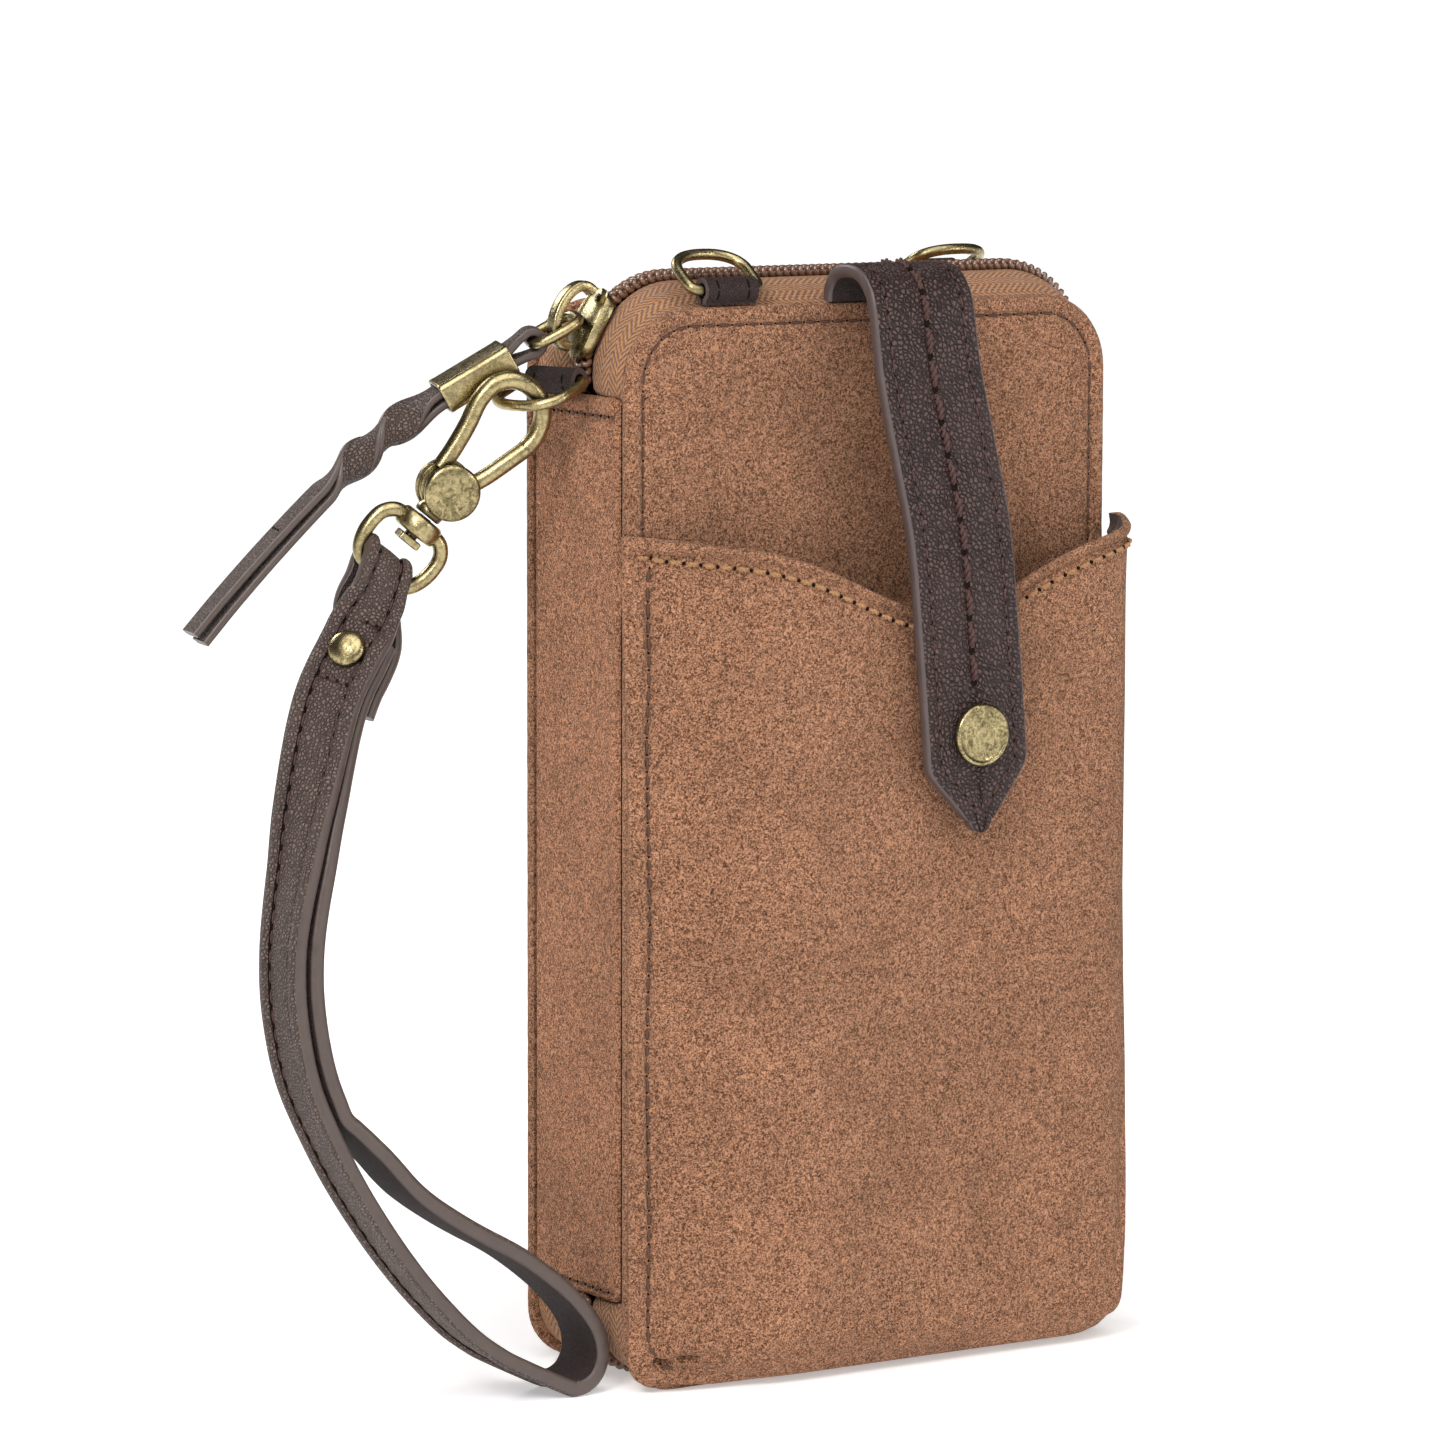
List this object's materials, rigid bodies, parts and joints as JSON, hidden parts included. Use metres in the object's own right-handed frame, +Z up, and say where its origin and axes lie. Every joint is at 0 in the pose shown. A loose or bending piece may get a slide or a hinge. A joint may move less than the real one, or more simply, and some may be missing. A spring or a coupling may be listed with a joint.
{
  "type": "wristlet wallet",
  "caption": "Upright zip-around suede phone wallet with a bulged front phone pocket, a snap closure strap over the top, D rings, and a leather wrist strap on a swivel snap hook.",
  "frame": {"origin": "middle of the wallet's base, on the flat underside of the back zip coil", "axes": "+Z up along the wallet's height, -Y out of the phone pocket's side, +Y out of the back, -X out of the spine"},
  "size_m": [0.1582, 0.0529, 0.1816],
  "materials": {
    "suede": "rust-brown suede nap, matt",
    "lining": "dark brown woven lining",
    "zip_tape": "golden-brown twill tape",
    "zip_coil": "glossy brown coil",
    "dark_leather": "dark brown pebbled leather with painted edges",
    "grey_leather": "grey-brown pebbled leather",
    "antique_brass": "antique brass with a dark patina"
  },
  "bodies": {
    "back_half": {"back_panel": "suede", "back_lining": "lining", "card_pocket_1": "dark_leather", "card_pocket_2": "dark_leather", "card_pocket_3": "dark_leather", "back_zip_tape": "zip_tape", "back_zip_coil": "zip_coil", "back_ring_tab": "dark_leather", "spine_panel": "suede", "spine_lining": "lining", "spine_ring_tab": "dark_leather"},
    "front_half": {"front_panel": "suede", "front_lining": "lining", "slip_pocket": "lining", "front_zip_tape": "zip_tape", "front_zip_coil": "zip_coil", "phone_pocket": "suede", "front_ring_tab": "dark_leather", "strap_root": "dark_leather", "snap_stud": "antique_brass", "stud_rivet": "antique_brass"},
    "strap_flap": {"closure_strap": "dark_leather", "snap_cap": "antique_brass", "snap_socket": "antique_brass"},
    "front_d_ring": {"front_ring": "antique_brass"},
    "back_d_ring": {"back_ring": "antique_brass"},
    "spine_d_ring": {"spine_ring": "antique_brass"},
    "zip_slider": {"slider_body": "antique_brass", "slider_crown": "antique_brass"},
    "slider_link": {"pull_link": "antique_brass"},
    "leather_pull": {"pull_thong": "grey_leather", "pull_ferrule": "antique_brass"},
    "snap_hook": {"clasp_body": "antique_brass", "clasp_disc_front": "antique_brass", "clasp_disc_rear": "antique_brass", "clasp_pin": "antique_brass", "swivel_post": "antique_brass"},
    "hook_gate": {"clasp_gate": "antique_brass"},
    "loop_end": {"swivel_loop": "antique_brass"},
    "wristlet": {"wrist_strap": "grey_leather", "rivet_cap": "antique_brass", "rivet_post": "antique_brass"}
  },
  "joints": [
    {"name": "front_cover_hinge", "type": "hinge", "parent": "back_half", "child": "front_half", "pos_m": [-0.048, -0.01365, 0], "axis": [0, 0, 1], "range_deg": [-85, 0]},
    {"name": "closure_strap_hinge", "type": "hinge", "parent": "front_half", "child": "strap_flap", "pos_m": [-0.0012, -0.0205, 0.17945], "axis": [1, 0, 0], "range_deg": [-120, 0]},
    {"name": "front_ring_hinge", "type": "hinge", "parent": "front_half", "child": "front_d_ring", "pos_m": [-0.029, -0.0147, 0.1755], "axis": [1, 0, 0], "range_deg": [-15, 110]},
    {"name": "back_ring_hinge", "type": "hinge", "parent": "back_half", "child": "back_d_ring", "pos_m": [0.0293, 0.0147, 0.1755], "axis": [1, 0, 0], "range_deg": [-110, 5]},
    {"name": "slider_corner", "type": "hinge", "parent": "back_half", "child": "zip_slider", "pos_m": [-0.032, 0, 0.162], "axis": [0, 1, 0], "range_deg": [0, 38]},
    {"name": "link_hinge", "type": "hinge", "parent": "zip_slider", "child": "slider_link", "pos_m": [-0.04831, -0.0009, 0.17104], "axis": [0, 1, 0], "range_deg": [0, 110]},
    {"name": "thong_hinge", "type": "hinge", "parent": "slider_link", "child": "leather_pull", "pos_m": [-0.0553, 0.0015, 0.1672], "axis": [0.2524, 0.9576, 0.1388], "range_deg": [0, 35]},
    {"name": "spine_ring_hinge", "type": "hinge", "parent": "back_half", "child": "spine_d_ring", "pos_m": [-0.0513, 0.0005, 0.1612], "axis": [0.3401, -0.9404, 0], "range_deg": [-6, 0]},
    {"name": "hook_hang", "type": "hinge", "parent": "spine_d_ring", "child": "snap_hook", "pos_m": [-0.06051, -0.00283, 0.15771], "axis": [0.3401, -0.9404, 0], "range_deg": [-12, 0]},
    {"name": "gate_hinge", "type": "hinge", "parent": "snap_hook", "child": "hook_gate", "pos_m": [-0.07045, 0.00146, 0.1446], "axis": [-0.288, -0.953, -0.0937], "range_deg": [0, 25], "stiffness_Nm_per_rad": 0.01, "springref_deg": -11.46},
    {"name": "swivel", "type": "hinge", "parent": "snap_hook", "child": "loop_end", "pos_m": [-0.07045, 0.00146, 0.1446], "axis": [-0.5845, 0.2524, -0.7711], "range_deg": [0, 90]},
    {"name": "wrist_hinge", "type": "hinge", "parent": "loop_end", "child": "wristlet", "pos_m": [-0.0767, 0.00416, 0.13634], "axis": [-0.288, -0.953, -0.0937], "range_deg": [-12, 0]}
  ]
}
